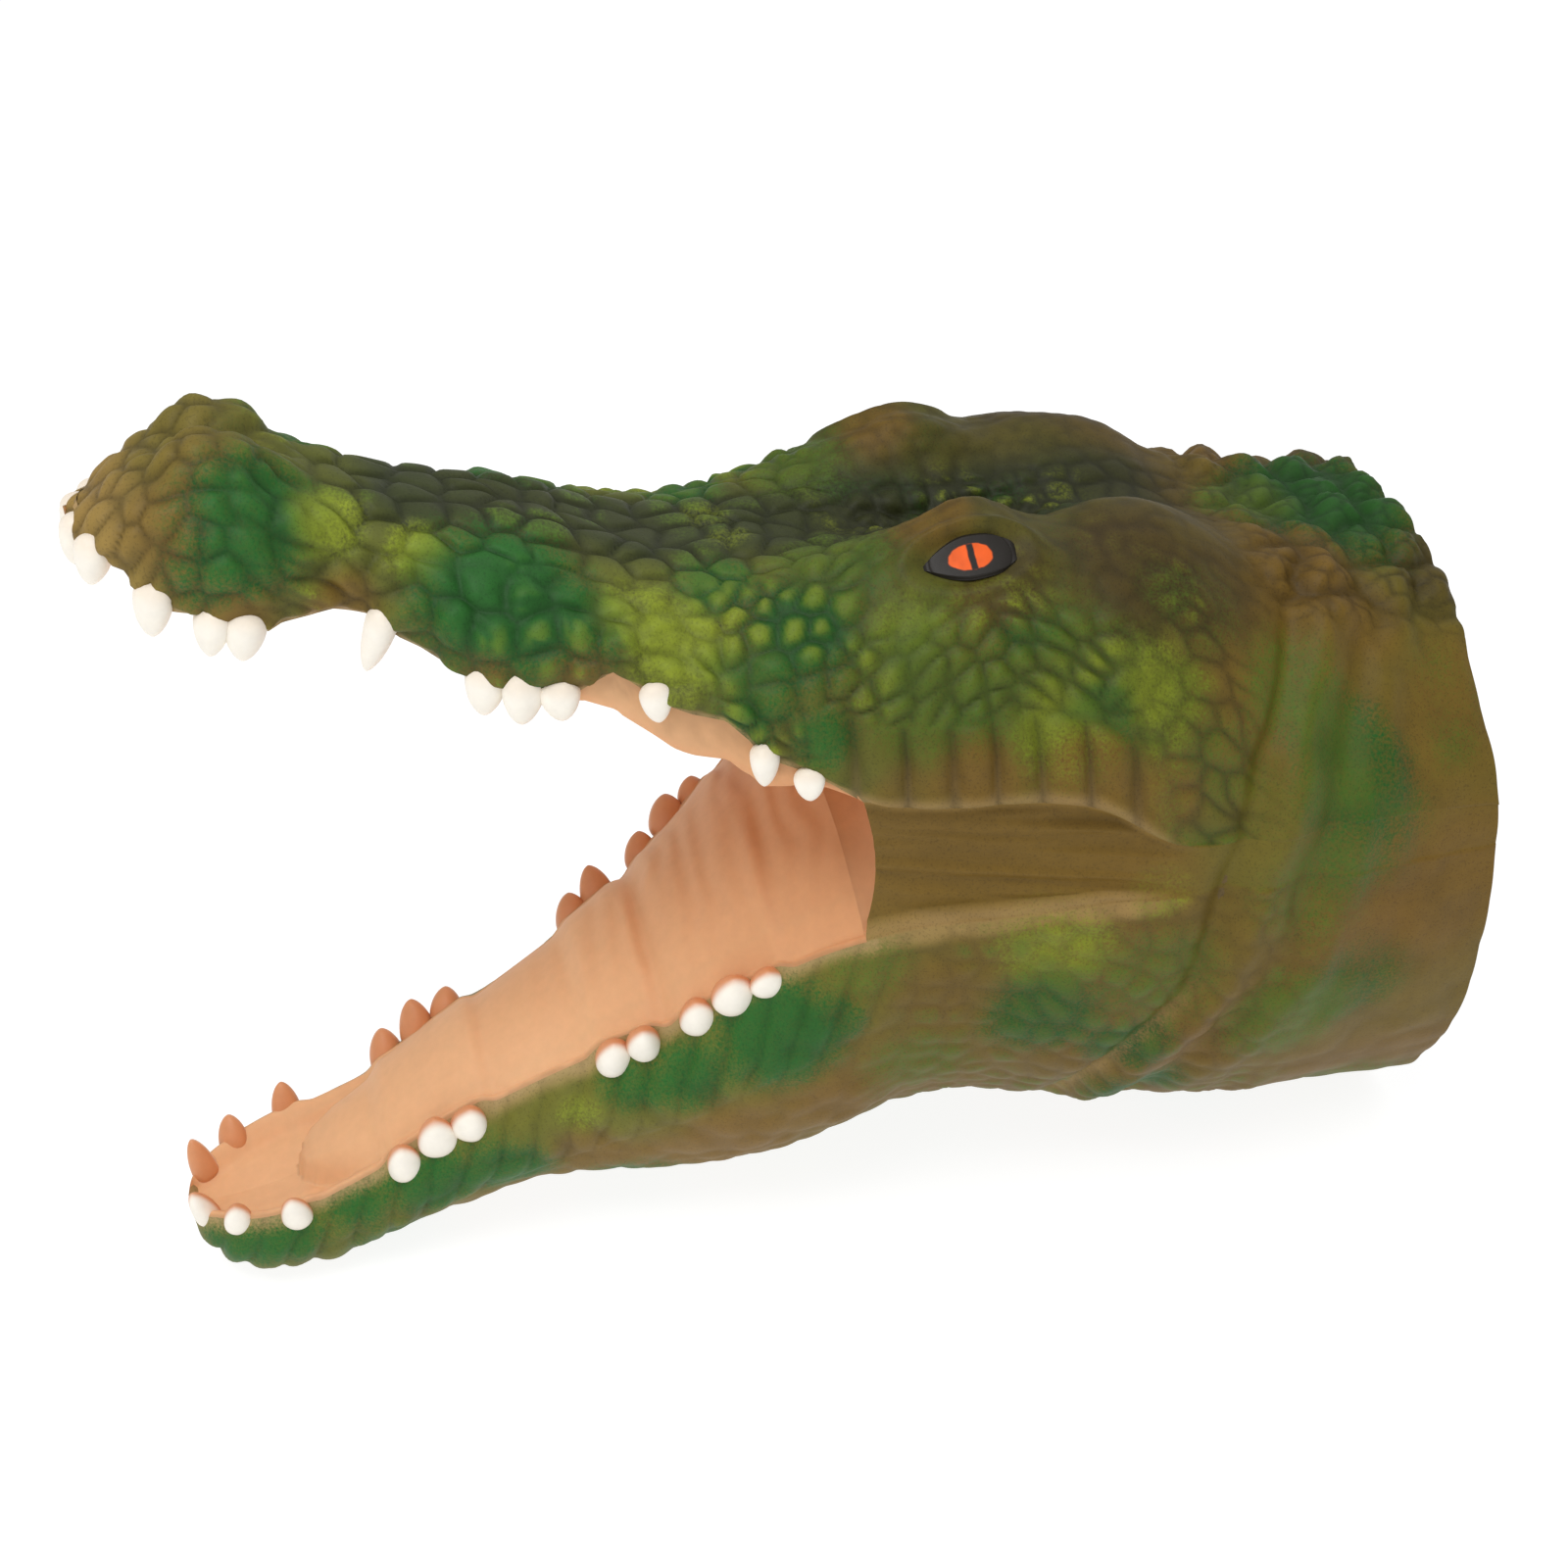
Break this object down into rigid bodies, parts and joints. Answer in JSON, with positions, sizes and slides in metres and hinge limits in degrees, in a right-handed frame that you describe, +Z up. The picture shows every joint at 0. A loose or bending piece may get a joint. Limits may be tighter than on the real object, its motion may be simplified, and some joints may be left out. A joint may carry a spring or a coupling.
{
  "type": "moving mouth puppet",
  "caption": "Hollow soft-rubber crocodile-head hand puppet with an open, toothed mouth whose jaw closes and whose head nods on its neck collar.",
  "frame": {"origin": "middle of the footprint, on the surface that the chin and the collar's bottom flat rest on", "axes": "+Z up, snout towards -Y and hand opening towards +Y, the animal's left side towards +X"},
  "size_m": [0.1145, 0.2529, 0.1826],
  "materials": {
    "skin": "matte, airbrushed",
    "lining": "matte",
    "teeth": "satin paint",
    "eye": "satin paint"
  },
  "bodies": {
    "collar": {"neck_collar": "skin", "neck_fold": "skin"},
    "head": {"snout_skin": "skin", "crown_skin": "skin", "throat_skin": "skin", "left_cheek_web": "skin", "right_cheek_web": "skin", "mouth_back": "lining", "palate_lining": "lining", "left_eye": "eye", "right_eye": "eye", "upper_front_teeth": "teeth", "upper_left_teeth": "teeth", "upper_right_teeth": "teeth"},
    "lower_jaw": {"jaw_skin": "skin", "mouth_floor": "lining", "tongue": "lining", "lower_front_teeth": "teeth", "lower_left_teeth": "teeth", "lower_right_teeth": "teeth"}
  },
  "joints": [
    {"name": "head_nod", "type": "hinge", "parent": "collar", "child": "head", "pos_m": [0, 0.086, 0.066], "axis": [-1, 0, 0], "range_deg": [0, 10], "stiffness_Nm_per_rad": 6, "deforming": ["neck_fold"]},
    {"name": "mouth_hinge", "type": "hinge", "parent": "head", "child": "lower_jaw", "pos_m": [0, 0.032, 0.094], "axis": [1, 0, 0], "range_deg": [-45, 0], "stiffness_Nm_per_rad": 1.5, "deforming": ["throat_skin", "left_cheek_web", "right_cheek_web", "mouth_back"]}
  ]
}
